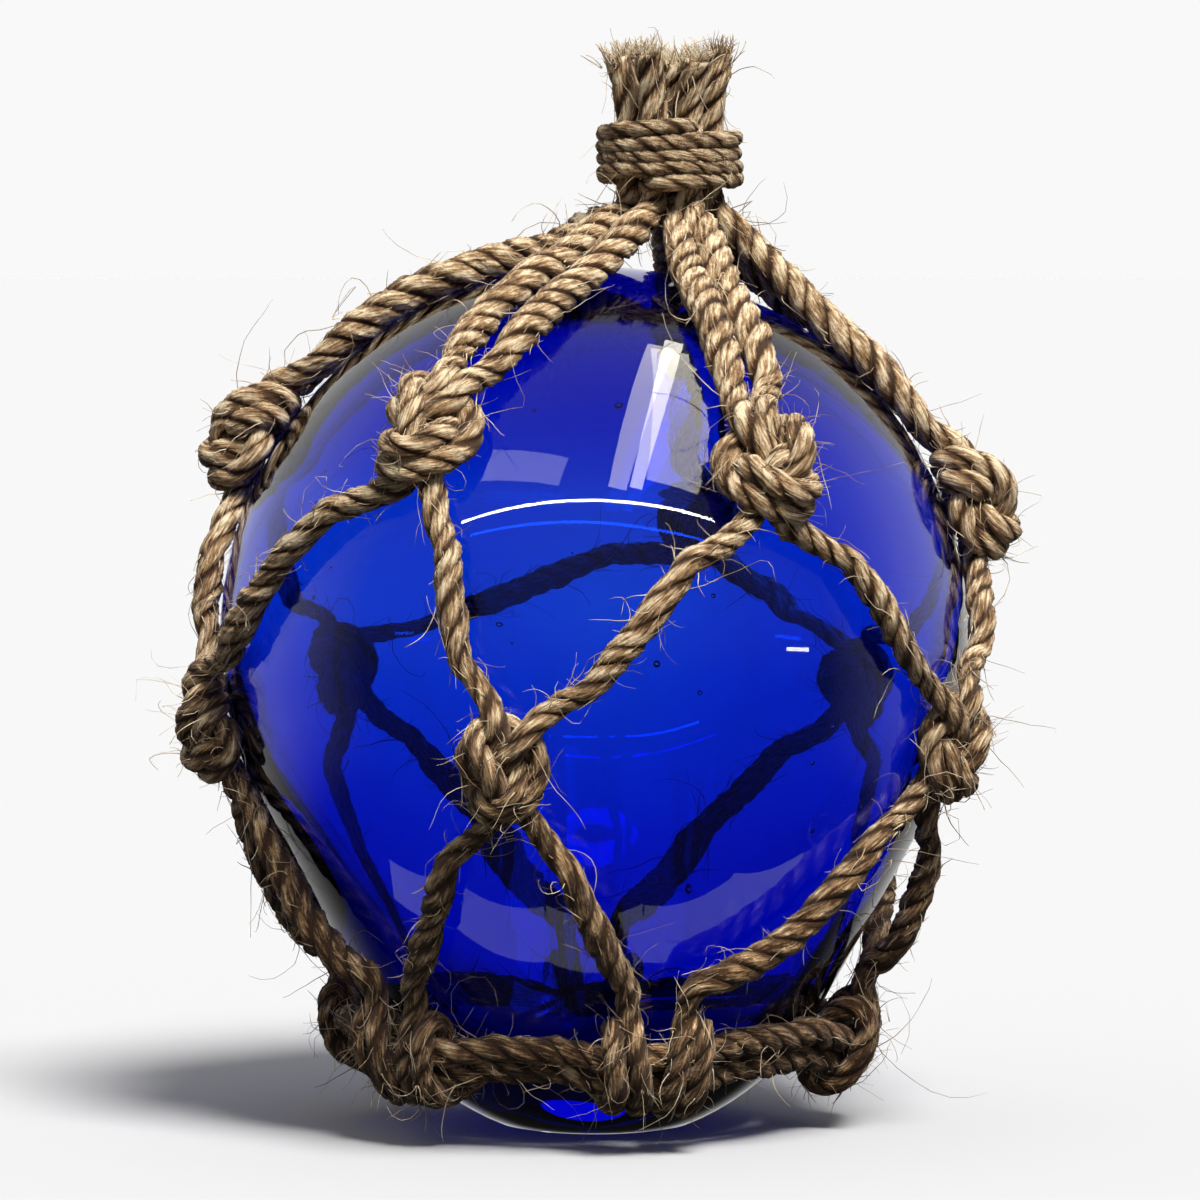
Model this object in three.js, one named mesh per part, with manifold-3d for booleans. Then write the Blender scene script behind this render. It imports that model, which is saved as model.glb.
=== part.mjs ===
// A sealed, blown glass fishing float in a hand-knotted jute net.
// Millimetres, +Z up, the front towards -Y. The origin is the centre of the small flat that the float stands on.
import * as THREE from "three";
import { mergeVertices } from "three/addons/utils/BufferGeometryUtils.js";
import Module from "manifold-3d";

// Glass: a ball that tapers a little to a rounder lower end
const BALL_RADIUS = 38;
const LOWER_RADIUS = 26;
const LOWER_DROP = 25; // from the ball's middle down to the middle of its lower end
const FLAT_RADIUS = 9;
const GLASS_FACETS = 40;
const LOWER_STEPS = 6;
const BALL_STEPS = 15;

// Twine
const TWINE = 3;
const WHIPPING_TWINE = 1.8;
const CLEARANCE = 0.3;
const TWINE_SIDES = 5;
const STRAND_STEPS = 24;

// The net is tied by hand, so each knot of a row has a place of its own round the ball. Angles are degrees:
// azimuth runs from the front to the right, elevation is above the ball's middle, and lean raises the row
// on the side it names. Stand-off is from the glass to the middle of the knot.
const ROWS = [
  { azimuths: [-95, -28, 27, 88, 161], elevation: 24, lean: 7.5, leanTowards: -50, standOff: 4.2 },
  { azimuths: [-79, -13, 64, 134, 226], elevation: -12, lean: 4, leanTowards: -170, standOff: 3.8 },
  { azimuths: [-112, -46, 13, 85, 180], elevation: -49, lean: 2, leanTowards: -130, standOff: 4.2 },
];
const COLUMNS = ROWS[0].azimuths.length;

// The turns of twine in each row's knots: how many, how wide and thick over all, and the knot's whole length.
const KNOTS = [
  { turns: 2, width: 10.4, thickness: 6.2, length: 9, slant: 8 },
  { turns: 3, width: 8.8, thickness: 6.4, length: 14, slant: 16 },
  { turns: 2, width: 8.6, thickness: 6.2, length: 7.5, slant: 20 },
];
const KNOT_FACETS = 8;
const PAIR_HALF_GAP = 1.65; // from the middle of a knot to each of its two strands

// The doubled ring round the lower end
const RING_ELEVATION = -59.5;
const RING_CORD_SPACING = 3.2;
const RING_SEGMENTS = 28;

// The gather above the ball, where the strands are bound together
const GATHER_RISE = 7.5; // from the top of the glass to the lowest turn of the whipping
const GATHER_OFFSET = 7.5; // to the right of the ball's middle
const BUNDLE_RADIUS = 5.5;
const BUNDLE_FACETS = 14;
const WHIPPING_TURNS = 4;
const WHIPPING_SEGMENTS = 16;
const ENDS_LENGTH = 7; // of the cut strand ends above the whipping
const ENDS_FLARE = 1.5;

const radians = THREE.MathUtils.degToRad;
const taper = Math.asin((BALL_RADIUS - LOWER_RADIUS) / LOWER_DROP);
const flatAngle = Math.acos(FLAT_RADIUS / LOWER_RADIUS);
const lowerHeight = LOWER_RADIUS * Math.sin(flatAngle);
const ballHeight = lowerHeight + LOWER_DROP;
const ballCentre = new THREE.Vector3(0, 0, ballHeight);
const strandStandOff = CLEARANCE + TWINE / 2;
const whippingHeight = WHIPPING_TURNS * WHIPPING_TWINE;
const gatherBottom = ballHeight + BALL_RADIUS + GATHER_RISE;
const gatherTop = gatherBottom + whippingHeight;

const wasm = await Module();
wasm.setup();

// A closed three.js geometry as a manifold-3d solid.
function solidOf(geometry) {
  const bare = geometry.clone();
  bare.deleteAttribute("normal");
  bare.deleteAttribute("uv");
  const merged = mergeVertices(bare, 1e-4);
  return new wasm.Manifold(
    new wasm.Mesh({
      numProp: 3,
      vertProperties: merged.attributes.position.array,
      triVerts: new Uint32Array(merged.index.array),
    }),
  );
}

const addAll = (solids) => solids.reduce((all, next) => all.add(next));

// Joins closed geometries into one, and fills the small hollows that they shut in between them.
function join(geometries) {
  const shells = addAll(geometries.map(solidOf)).decompose();
  const mesh = addAll(shells.filter((shell) => shell.volume() > 0)).getMesh();
  const geometry = new THREE.BufferGeometry();
  geometry.setAttribute("position", new THREE.BufferAttribute(new Float32Array(mesh.vertProperties), 3));
  geometry.setIndex(new THREE.BufferAttribute(new Uint32Array(mesh.triVerts), 1));
  geometry.computeVertexNormals();
  return geometry;
}

// The outward direction at an azimuth and an elevation in degrees.
function outward(azimuth, elevation) {
  const a = radians(azimuth);
  const e = radians(elevation);
  return new THREE.Vector3(Math.sin(a) * Math.cos(e), -Math.cos(a) * Math.cos(e), Math.sin(e));
}

// How far from the ball's middle, at an elevation in radians, something stands that keeps off the glass.
function reach(elevation, standOff) {
  const upper = BALL_RADIUS + standOff;
  const lower = LOWER_RADIUS + standOff;
  if (elevation > -taper) return upper;
  const past = -taper - elevation;
  if (upper * Math.tan(past) < LOWER_DROP * Math.cos(taper)) return upper / Math.cos(past);
  const across = LOWER_DROP * Math.cos(elevation);
  return -LOWER_DROP * Math.sin(elevation) + Math.sqrt(lower ** 2 - across ** 2);
}

// A place off the glass with axes of its own: out of the glass, down along it, and to the right.
function placeOff(azimuth, elevation, standOff) {
  const e = radians(elevation);
  const distance = reach(e, standOff);
  const fromLower = Math.atan2(distance * Math.sin(e) + LOWER_DROP, distance * Math.cos(e));
  const facing = THREE.MathUtils.radToDeg(e > -taper ? e : Math.min(-taper, fromLower));
  return {
    azimuth,
    centre: outward(azimuth, elevation).multiplyScalar(distance).add(ballCentre),
    out: outward(azimuth, facing),
    down: outward(azimuth, facing - 90),
    right: outward(azimuth + 90, 0),
  };
}

function knotPlace(row, column) {
  const { azimuths, elevation, lean, leanTowards, standOff } = ROWS[row];
  const azimuth = azimuths[(column + COLUMNS) % COLUMNS];
  return placeOff(azimuth, elevation + lean * Math.cos(radians(azimuth - leanTowards)), standOff);
}

// A point some way down, to the right and out from a place.
function beside(place, down, right, out = 0) {
  return place.centre
    .clone()
    .addScaledVector(place.down, down)
    .addScaledVector(place.right, right)
    .addScaledVector(place.out, out);
}

// Half of the glass's outline, from the middle of the flat to the top of the ball.
function glassProfile() {
  const points = [new THREE.Vector2(0, 0)];
  for (let i = 0; i <= LOWER_STEPS; i++) {
    const angle = THREE.MathUtils.lerp(-flatAngle, -taper, i / LOWER_STEPS);
    const height = i === 0 ? 0 : lowerHeight + LOWER_RADIUS * Math.sin(angle);
    points.push(new THREE.Vector2(LOWER_RADIUS * Math.cos(angle), height));
  }
  for (let i = 0; i < BALL_STEPS; i++) {
    const angle = THREE.MathUtils.lerp(-taper, Math.PI / 2, i / BALL_STEPS);
    points.push(new THREE.Vector2(BALL_RADIUS * Math.cos(angle), ballHeight + BALL_RADIUS * Math.sin(angle)));
  }
  points.push(new THREE.Vector2(0, ballHeight + BALL_RADIUS));
  return points;
}

function glassFloat() {
  return new THREE.LatheGeometry(glassProfile(), GLASS_FACETS).rotateX(Math.PI / 2);
}

// The same points, with each one that is too near the glass moved out to where the twine lies on it.
function clearOfGlass(points) {
  return points.map((point) => {
    const arm = point.clone().sub(ballCentre);
    const least = reach(Math.asin(arm.z / arm.length()), strandStandOff);
    return arm.length() < least ? arm.setLength(least).add(ballCentre) : point;
  });
}

// Points from each stop to the next, so that a path bends round the ball between them.
function spread(stops) {
  const points = [stops[0]];
  for (let i = 1; i < stops.length; i++) {
    const steps = Math.ceil(stops[i].distanceTo(stops[i - 1]) / (3 * TWINE));
    for (let k = 1; k <= steps; k++) points.push(stops[i - 1].clone().lerp(stops[i], k / steps));
  }
  return points;
}

function tube(points, diameter, steps) {
  const corners = [];
  for (let i = 0; i < TWINE_SIDES; i++) {
    const angle = (2 * Math.PI * i) / TWINE_SIDES;
    corners.push(new THREE.Vector2(Math.cos(angle), Math.sin(angle)).multiplyScalar(diameter / 2));
  }
  return new THREE.ExtrudeGeometry(new THREE.Shape(corners), {
    steps,
    extrudePath: new THREE.CatmullRomCurve3(points, false, "centripetal"),
  });
}

// One strand, from its cut end through three knots and over the ring. Side is -1 for the left strand of
// its pair and 1 for the right one. Below the first knot it goes that way, and crosses over at each knot.
function strand(column, side) {
  const first = knotPlace(0, column);
  const second = knotPlace(1, side > 0 ? column : column - 1);
  const third = knotPlace(2, column + side);
  const ring = placeOff(third.azimuth, RING_ELEVATION, strandStandOff);
  const bundleAngle = (360 / COLUMNS) * column - 108 + side * (90 / COLUMNS);
  const bundled = (height, flare) =>
    outward(bundleAngle, 0)
      .multiplyScalar(BUNDLE_RADIUS - TWINE / 2 + flare)
      .add(new THREE.Vector3(GATHER_OFFSET, 0, height));
  const half = (row) => KNOTS[row].length / 2;
  const gap = side * PAIR_HALF_GAP;
  const overRing = TWINE * 0.9;
  const stops = [
    bundled(gatherTop + ENDS_LENGTH, ENDS_FLARE),
    bundled(gatherTop, 0),
    bundled(gatherBottom - TWINE / 2, 0),
    beside(first, -half(0), gap),
    beside(first, half(0), gap),
    beside(second, -half(1), -gap),
    beside(second, half(1), gap),
    beside(third, -half(2), -gap),
    beside(third, half(2), -gap),
    beside(ring, 0, -gap, overRing),
    beside(ring, RING_CORD_SPACING, -gap, overRing / 2),
  ];
  return tube(clearOfGlass(spread(stops)), TWINE, STRAND_STEPS);
}

// The outline of turns of twine that lie side by side along an axis, three points to a turn.
function ridges(turns, radius, length) {
  const half = length / turns / 2;
  const points = [];
  for (let i = 0; i < turns; i++) {
    for (const angle of [-Math.PI / 3, 0, Math.PI / 3]) {
      const along = (2 * i + 1 + Math.sin(angle)) * half - length / 2;
      points.push(new THREE.Vector2(radius - half * (1 - Math.cos(angle)), along));
    }
  }
  return points;
}

// A knot, as one body with a slanting ridge for each turn of twine round its strands.
function knotBody(knot, { turns, width, thickness, length, slant }) {
  const onAxis = (along) => new THREE.Vector2(0, along);
  const profile = [onAxis(-length / 2), ...ridges(turns, width / 2, length), onAxis(length / 2)];
  const shear = new THREE.Matrix4().makeShear(0, Math.tan(radians(slant)), 0, 0, 0, 0);
  return new THREE.LatheGeometry(profile, KNOT_FACETS)
    .rotateX(Math.PI / 2)
    .scale(1, thickness / width, 1)
    .applyMatrix4(shear)
    .applyMatrix4(new THREE.Matrix4().makeBasis(knot.right, knot.out, knot.down))
    .translate(knot.centre.x, knot.centre.y, knot.centre.z);
}

function ringCord(index) {
  const place = placeOff(0, RING_ELEVATION, strandStandOff);
  const point = beside(place, (index - 0.5) * RING_CORD_SPACING, 0);
  return new THREE.TorusGeometry(-point.y, TWINE / 2, TWINE_SIDES, RING_SEGMENTS).translate(0, 0, point.z);
}

function net() {
  const pieces = [ringCord(0), ringCord(1)];
  for (let column = 0; column < COLUMNS; column++) {
    pieces.push(strand(column, -1), strand(column, 1));
    KNOTS.forEach((shape, row) => pieces.push(knotBody(knotPlace(row, column), shape)));
  }
  pieces.push(
    new THREE.CylinderGeometry(BUNDLE_RADIUS, BUNDLE_RADIUS, whippingHeight + TWINE, BUNDLE_FACETS)
      .rotateX(Math.PI / 2)
      .translate(GATHER_OFFSET, 0, (gatherBottom + gatherTop) / 2),
  );
  return join(pieces);
}

// The thin twine wound round the gathered strands, each turn pressed on the next.
function whipping() {
  const inner = BUNDLE_RADIUS + CLEARANCE;
  const outline = ridges(WHIPPING_TURNS, inner + WHIPPING_TWINE, whippingHeight);
  const bore = [new THREE.Vector2(inner, whippingHeight / 2), new THREE.Vector2(inner, -whippingHeight / 2)];
  return new THREE.LatheGeometry([...outline, ...bore, outline[0].clone()], WHIPPING_SEGMENTS)
    .rotateX(Math.PI / 2)
    .translate(GATHER_OFFSET, 0, (gatherBottom + gatherTop) / 2);
}

const cobaltGlass = new THREE.MeshStandardMaterial({ color: 0x0a22a8, roughness: 0.04, metalness: 0 });
const jute = new THREE.MeshStandardMaterial({ color: 0xa98a5e, roughness: 0.95, metalness: 0 });
const bindingJute = new THREE.MeshStandardMaterial({ color: 0x9c7d54, roughness: 0.95, metalness: 0 });

const model = new THREE.Group();
for (const [name, geometry, material] of [
  ["glass_float", glassFloat(), cobaltGlass],
  ["jute_net", net(), jute],
  ["gather_whipping", whipping(), bindingJute],
]) {
  const mesh = new THREE.Mesh(geometry, material);
  mesh.name = name;
  model.add(mesh);
}

export default model;
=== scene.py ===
import math

import bpy
import numpy as np
from mathutils import Matrix, Vector


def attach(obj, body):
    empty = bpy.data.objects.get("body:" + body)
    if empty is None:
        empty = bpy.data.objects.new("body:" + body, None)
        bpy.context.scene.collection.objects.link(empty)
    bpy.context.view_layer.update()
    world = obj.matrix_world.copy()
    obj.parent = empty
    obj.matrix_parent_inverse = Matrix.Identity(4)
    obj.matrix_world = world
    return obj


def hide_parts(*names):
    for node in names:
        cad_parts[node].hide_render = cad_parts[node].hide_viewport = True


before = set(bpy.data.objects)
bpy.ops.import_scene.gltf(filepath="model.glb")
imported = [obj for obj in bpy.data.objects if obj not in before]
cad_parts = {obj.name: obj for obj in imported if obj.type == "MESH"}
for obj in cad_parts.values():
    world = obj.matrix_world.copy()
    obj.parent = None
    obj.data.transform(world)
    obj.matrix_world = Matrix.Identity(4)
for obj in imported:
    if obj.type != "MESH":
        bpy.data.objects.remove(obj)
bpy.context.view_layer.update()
rng = np.random.default_rng(11)

# Sizes in millimetres and angles in degrees, as in the solids
MM = 0.001
BALL_RADIUS = 38.0
LOWER_RADIUS = 26.0
LOWER_DROP = 25.0
FLAT_RADIUS = 9.0
TWINE = 3.0
CLEARANCE = 0.3
RING_ELEVATION = -59.5
RING_CORD_SPACING = 3.2
GATHER_RISE = 7.5
GATHER_OFFSET = 7.5
BUNDLE_RADIUS = 5.5
WHIPPING_TWINE = 1.8
WHIPPING_TURNS = 4
ENDS_LENGTH = 7.0
COLUMNS = 5
# The three rows of knots. Each row is tilted: it rises by its lean towards one side.
ROWS = [
    dict(azimuths=[-95, -28, 27, 88, 161], elevation=24, lean=7.5, lean_towards=-50,
         stand_off=4.2),
    dict(azimuths=[-79, -13, 64, 134, 226], elevation=-12, lean=4, lean_towards=-170,
         stand_off=3.8),
    dict(azimuths=[-112, -46, 13, 85, 180], elevation=-49, lean=2, lean_towards=-130,
         stand_off=4.2),
]
# The two strands of a pair: the left one, then the right one
SIDES = (-1, 1)

TAPER = math.asin((BALL_RADIUS - LOWER_RADIUS) / LOWER_DROP)
FLAT_ANGLE = math.acos(FLAT_RADIUS / LOWER_RADIUS)
LOWER_HEIGHT = LOWER_RADIUS * math.sin(FLAT_ANGLE)
BALL_HEIGHT = LOWER_HEIGHT + LOWER_DROP
BALL_CENTRE = np.array([0.0, 0.0, BALL_HEIGHT])
GATHER_BOTTOM = BALL_HEIGHT + BALL_RADIUS + GATHER_RISE
GATHER_TOP = GATHER_BOTTOM + WHIPPING_TURNS * WHIPPING_TWINE
GATHER = np.array([GATHER_OFFSET, 0.0, 0.0])


# Camera: looks a little down at the middle of the whole float

CAMERA_DISTANCE = 650.0
CAMERA_ELEVATION = 3.0
CAMERA_AIM = np.array([0.5, 0.0, 53.5])
FRAMED_HEIGHT = 122.0
SENSOR = 36.0


def make_camera():
    data = bpy.data.cameras.new("camera")
    data.sensor_width = SENSOR
    data.lens = SENSOR * CAMERA_DISTANCE / FRAMED_HEIGHT
    camera = bpy.data.objects.new("camera", data)
    bpy.context.collection.objects.link(camera)
    e = math.radians(CAMERA_ELEVATION)
    back = Vector((0, -math.cos(e), math.sin(e)))
    camera.location = (Vector(CAMERA_AIM) + back * CAMERA_DISTANCE) * MM
    camera.rotation_euler = (-back).to_track_quat("-Z", "Y").to_euler()
    bpy.context.scene.camera = camera


make_camera()


# Places on the glass, the same as in the solids

# How far past its start the cone is followed, in radians. It ends well before that.
CONE_LIMIT = 1.2


def unit(vectors):
    return vectors / np.linalg.norm(vectors, axis=-1, keepdims=True)


def outward(azimuth, elevation):
    """The outward direction at an azimuth and an elevation in degrees."""
    a, e = np.radians(azimuth), np.radians(elevation)
    return np.stack([np.sin(a) * np.cos(e), -np.cos(a) * np.cos(e), np.sin(e) + 0 * a], axis=-1)


def reach(elevation, stand_off):
    """How far from the ball's middle a thing lies that stands off the glass. Radians."""
    upper, lower = BALL_RADIUS + stand_off, LOWER_RADIUS + stand_off
    elevation = np.asarray(elevation, float)
    past = np.clip(-TAPER - elevation, 0, CONE_LIMIT)
    cone = upper / np.cos(past)
    across = LOWER_DROP * np.cos(elevation)
    round_end = -LOWER_DROP * np.sin(elevation) + np.sqrt(np.maximum(lower**2 - across**2, 0))
    on_cone = upper * np.tan(past) < LOWER_DROP * math.cos(TAPER)
    return np.where(on_cone, cone, round_end)


def place_off(azimuth, elevation, stand_off):
    """A place off the glass with its own axes: out of the glass, up along it, to the right."""
    e = math.radians(elevation)
    distance = float(reach(e, stand_off))
    from_lower = math.atan2(distance * math.sin(e) + LOWER_DROP, distance * math.cos(e))
    facing = math.degrees(e if e > -TAPER else min(-TAPER, from_lower))
    return dict(
        azimuth=azimuth,
        centre=outward(azimuth, elevation) * distance + BALL_CENTRE,
        out=outward(azimuth, facing),
        up=outward(azimuth, facing + 90),
        right=outward(azimuth + 90, 0),
    )


def knot_place(row, column):
    r = ROWS[row]
    azimuth = r["azimuths"][column % COLUMNS]
    lean = r["lean"] * math.cos(math.radians(azimuth - r["lean_towards"]))
    return place_off(azimuth, r["elevation"] + lean, r["stand_off"])


def ring_place(azimuth):
    return place_off(azimuth, RING_ELEVATION, CLEARANCE + TWINE / 2)


def axes_of(place):
    """Rows: right, up, out."""
    return np.stack([place["right"], place["up"], place["out"]])


def to_local(place, points):
    return (points - place["centre"]) @ axes_of(place).T


def to_world(place, points):
    return points @ axes_of(place) + place["centre"]


def clear_of_glass(points, stand_off):
    """The points, with each that is too near the glass moved out from the ball's middle."""
    arm = points - BALL_CENTRE
    length = np.linalg.norm(arm, axis=-1, keepdims=True)
    least = reach(np.arcsin(arm[..., 2:] / length), stand_off)
    return BALL_CENTRE + arm / length * np.maximum(length, least)


# Curves

CURVE_STEP = 0.4
TINY = 1e-9


def spline(points, step):
    """A smooth curve through the points, sampled about every step. Centripetal Catmull-Rom."""
    p = np.asarray(points, float)
    p = np.vstack([2 * p[0] - p[1], p, 2 * p[-1] - p[-2]])
    out = []
    for i in range(1, len(p) - 2):
        a, b, c, d = p[i - 1], p[i], p[i + 1], p[i + 2]
        t1 = math.sqrt(np.linalg.norm(b - a)) + TINY
        t2 = t1 + math.sqrt(np.linalg.norm(c - b)) + TINY
        t3 = t2 + math.sqrt(np.linalg.norm(d - c)) + TINY
        n = max(2, int(np.linalg.norm(c - b) / step) + 1)
        t = np.linspace(t1, t2, n, endpoint=False)[:, None]
        a1 = (t1 - t) / t1 * a + t / t1 * b
        a2 = (t2 - t) / (t2 - t1) * b + (t - t1) / (t2 - t1) * c
        a3 = (t3 - t) / (t3 - t2) * c + (t - t2) / (t3 - t2) * d
        b1 = (t2 - t) / t2 * a1 + t / t2 * a2
        b2 = (t3 - t) / (t3 - t1) * a2 + (t - t1) / (t3 - t1) * a3
        out.append((t2 - t) / (t2 - t1) * b1 + (t - t1) / (t2 - t1) * b2)
    out.append(p[-2][None])
    return np.vstack(out)


def lengths_along(points):
    return np.concatenate([[0], np.cumsum(np.linalg.norm(np.diff(points, axis=0), axis=1))])


def at_lengths(points, s, t):
    """The curve, whose points lie s along it, at the lengths t."""
    return np.stack([np.interp(t, s, points[:, k]) for k in range(3)], axis=1)


def resample(points, step, values=None):
    """The curve at even steps, with the values carried along."""
    s = lengths_along(points)
    t = np.linspace(0, s[-1], max(2, int(round(s[-1] / step)) + 1))
    even = at_lengths(points, s, t)
    return even if values is None else (even, np.interp(t, s, values))


def smooth(points, times):
    """The curve made smoother, with its ends kept."""
    p = points.copy()
    for _ in range(times):
        p[1:-1] = (p[:-2] + 2 * p[1:-1] + p[2:]) / 4
    return p


def frames_along(points):
    """Tangents, and two normals each, which turn as little as they can."""
    t = unit(np.gradient(points, axis=0))
    n = np.zeros_like(t)
    n[0] = unit(np.cross(t[0], [0.3, 0.5, 0.8]))
    for i in range(1, len(t)):
        n[i] = unit(n[i - 1] - np.dot(n[i - 1], t[i]) * t[i])
    return t, n, np.cross(t, n)


# Knots: each is tied loose, then drawn tight by shrinking its strands while they are kept apart

KNOT_NODES = 84
# How far from its middle a knot's strands start and end
KNOT_REACH = 12.0
# How near two strands may come, for each row: less than they are thick, as soft twine gives
KNOT_WIDTHS = (2.35, 2.05)
KNOT_THIN = (0.92, 0.82)
# How far each strand of a pair stands aside where it comes in, for each row, and goes out
SPREAD_ABOVE = (2.0, 0.6)
SPREAD_BELOW = 0.6
LOOSE_SCALE = 4.6
LOOSE_RISE = 0.9
PAIR_APART = 0.42
ROUNDS = 620
# The strands are thin at first, and have their whole width after this part of the rounds
FIRST_WIDTH, WIDTH_GROWTH, GROWN_AFTER = 0.45, 0.55, 0.45
# What each round does: even out the lengths, straighten, narrow the knot, press it to the glass
EVEN_OUT = 0.9
STRAIGHTEN = 0.12
NARROW = 0.004
NARROW_WITHIN = 8
PRESS = 0.02
# and shorten the strands, unless they already overlap by more than this part of their width
SHORTEN = 0.9955
MOST_OVERLAP = 0.3
# Nodes this near along one strand may touch
OWN_NODES = 5

# An overhand knot laid flat: right, up and out, in units of its loop's radius. Where it
# crosses itself it is over or under in turn.
OVERHAND = [
    (0.2, 1.7, 0.2),
    (-0.1, 1.0, 0.5),
    (-0.8, 0.4, 0.0),
    (-1.0, -0.1, -0.5),
    (-0.8, -0.7, -0.2),
    (0.0, -1.2, 0.5),
    (0.8, -0.8, 0.2),
    (1.1, 0.0, -0.1),
    (0.8, 0.8, -0.4),
    (0.0, 1.15, -0.6),
    (-1.0, 0.9, -0.3),
    (-1.6, 0.2, 0.3),
    (-1.0, -0.15, 0.6),
    (-0.4, -0.3, 0.2),
    (-0.1, -0.7, -0.3),
    (0.0, -1.2, -0.6),
    (0.0, -1.8, -0.2),
]


def loose_pair(ends, mirror):
    """Two strands side by side through a loose overhand knot, in the knot's own axes."""
    core = np.array(OVERHAND) * LOOSE_SCALE
    core[:, 0] *= mirror
    core[:, 2] += LOOSE_RISE * LOOSE_SCALE
    tangent = np.gradient(core, axis=0)
    aside = unit(np.stack([tangent[:, 1], -tangent[:, 0], 0 * tangent[:, 0]], axis=1))
    pair = []
    for side in SIDES:
        top, bottom = ends[side]
        points = np.vstack([top[None], core - side * PAIR_APART * TWINE * aside, bottom[None]])
        points = resample(spline(points, CURVE_STEP), CURVE_STEP / 2)
        s = lengths_along(points)
        pair.append(at_lengths(points, s, np.linspace(0, s[-1], KNOT_NODES)))
    return np.stack(pair)


def tighten(pairs, stand_offs, widths, rounds):
    """Draws all the knots tight together. pairs is knots x 2 strands x nodes x 3."""
    p = pairs.copy()
    k, _, n, _ = p.shape
    fixed = p[:, :, [0, -1]].copy()
    seg = np.linalg.norm(np.diff(p, axis=2), axis=3).mean(axis=2)
    index = np.arange(n)
    same = np.zeros((2 * n, 2 * n), bool)
    same[:n, :n] = same[n:, n:] = np.abs(index[:, None] - index[None, :]) < OWN_NODES
    zero = np.zeros(k)
    middles = np.stack([zero, zero, -(BALL_RADIUS + stand_offs)], axis=1)[:, None, None, :]
    least = (BALL_RADIUS + CLEARANCE + widths / 2)[:, None, None, None]
    for step in range(rounds):
        width = widths * min(1.0, FIRST_WIDTH + WIDTH_GROWTH * step / (GROWN_AFTER * rounds))
        for _ in range(2):
            d = np.diff(p, axis=2)
            length = np.linalg.norm(d, axis=3, keepdims=True) + TINY
            move = d * (0.5 * (1 - seg[:, :, None, None] / length))
            p[:, :, :-1] += EVEN_OUT * move
            p[:, :, 1:] -= EVEN_OUT * move
            p[:, :, [0, -1]] = fixed
        p[:, :, 1:-1] += STRAIGHTEN * ((p[:, :, :-2] + p[:, :, 2:]) / 2 - p[:, :, 1:-1])
        flat = p.reshape(k, 2 * n, 3)
        gap = flat[:, :, None, :] - flat[:, None, :, :]
        dist = np.sqrt((gap**2).sum(-1)) + TINY
        over = np.where(same[None], 0, np.maximum(width[:, None, None] - dist, 0))
        push = (gap * (over / dist)[..., None]).sum(axis=2)
        count = np.maximum((over > 0).sum(axis=2), 1)[..., None]
        flat = flat + push * 0.5 / np.sqrt(count)
        p = flat.reshape(k, 2, n, 3)
        inside = np.abs(p[..., 1:2]) < NARROW_WITHIN
        p[..., :1] *= np.where(inside, 1 - NARROW, 1)
        p[..., 2] -= PRESS
        arm = p - middles
        length = np.linalg.norm(arm, axis=3, keepdims=True)
        p = middles + arm * np.maximum(length, least) / length
        p[:, :, [0, -1]] = fixed
        worst = over.max(axis=(1, 2))
        seg *= np.where(worst < MOST_OVERLAP * width, SHORTEN, 1.0)[:, None]
    return p


def strand_ends(here, above, below, spread_above, spread_below):
    """Where a knot's strands come in from above and go out below, in the knot's own axes."""
    ends = {}
    for side in SIDES:
        found = []
        for targets, spacing in ((above, spread_above), (below, spread_below)):
            target = to_local(here, targets[side][None])[0]
            target = target / np.linalg.norm(target) * KNOT_REACH
            target[0] += side * spacing
            world = clear_of_glass(to_world(here, target[None]), CLEARANCE + TWINE / 2)
            found.append(to_local(here, world)[0])
        ends[side] = found
    return ends


# Where the strands pass through the gather: seven on an outer circle round three on an inner one
OUTER_CIRCLE, OUTER_START = 4.1, -126
INNER_CIRCLE, INNER_START, INNER_APART = 1.65, -108, 18
INNER_STRANDS = [(0, 1), (2, -1), (3, 1)]


def bundle_places():
    """The radius and the angle in the gather of each strand: {(column, side): both}."""
    keys = [(column, side) for column in range(COLUMNS) for side in SIDES]
    outer = [key for key in keys if key not in INNER_STRANDS]
    places = {}
    for i, key in enumerate(outer):
        places[key] = (OUTER_CIRCLE, OUTER_START + 360 / len(outer) * i)
    for column, side in INNER_STRANDS:
        angle = 360 / COLUMNS * column + INNER_START + side * INNER_APART
        places[(column, side)] = (INNER_CIRCLE, angle)
    return places


BUNDLE = bundle_places()


def bundle_point(column, side, height, spread=1.0):
    radius, angle = BUNDLE[(column, side)]
    return outward(angle, 0) * radius * spread + GATHER + np.array([0, 0, height])


def neighbours(row, column):
    """What a knot's strands come from and go to: {side: point} above it, and below."""
    if row == 0:
        above = {side: bundle_point(column, side, GATHER_BOTTOM) for side in SIDES}
        below = {-1: knot_place(1, column - 1)["centre"], 1: knot_place(1, column)["centre"]}
    else:
        above = {-1: knot_place(0, column)["centre"], 1: knot_place(0, column + 1)["centre"]}
        below = {-1: knot_place(2, column)["centre"], 1: knot_place(2, column + 1)["centre"]}
    return above, below


def tied_knots():
    """The overhand knots of the two upper rows: {(row, column): 2 strands x nodes x 3}."""
    keys = [(row, column) for column in range(COLUMNS) for row in (0, 1)]
    places = [knot_place(*key) for key in keys]
    pairs = []
    for (row, column), place in zip(keys, places):
        ends = strand_ends(place, *neighbours(row, column), SPREAD_ABOVE[row], SPREAD_BELOW)
        pairs.append(loose_pair(ends, 1 if column % 2 else -1))
    rows = np.array([row for row, _ in keys])
    stand_offs = np.array([ROWS[row]["stand_off"] for row in rows])
    widths = np.array(KNOT_WIDTHS)[rows]
    tied = tighten(np.stack(pairs), stand_offs, widths, ROUNDS)
    return {key: to_world(place, pair) for key, place, pair in zip(keys, places, tied)}


# Twine as mesh

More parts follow.
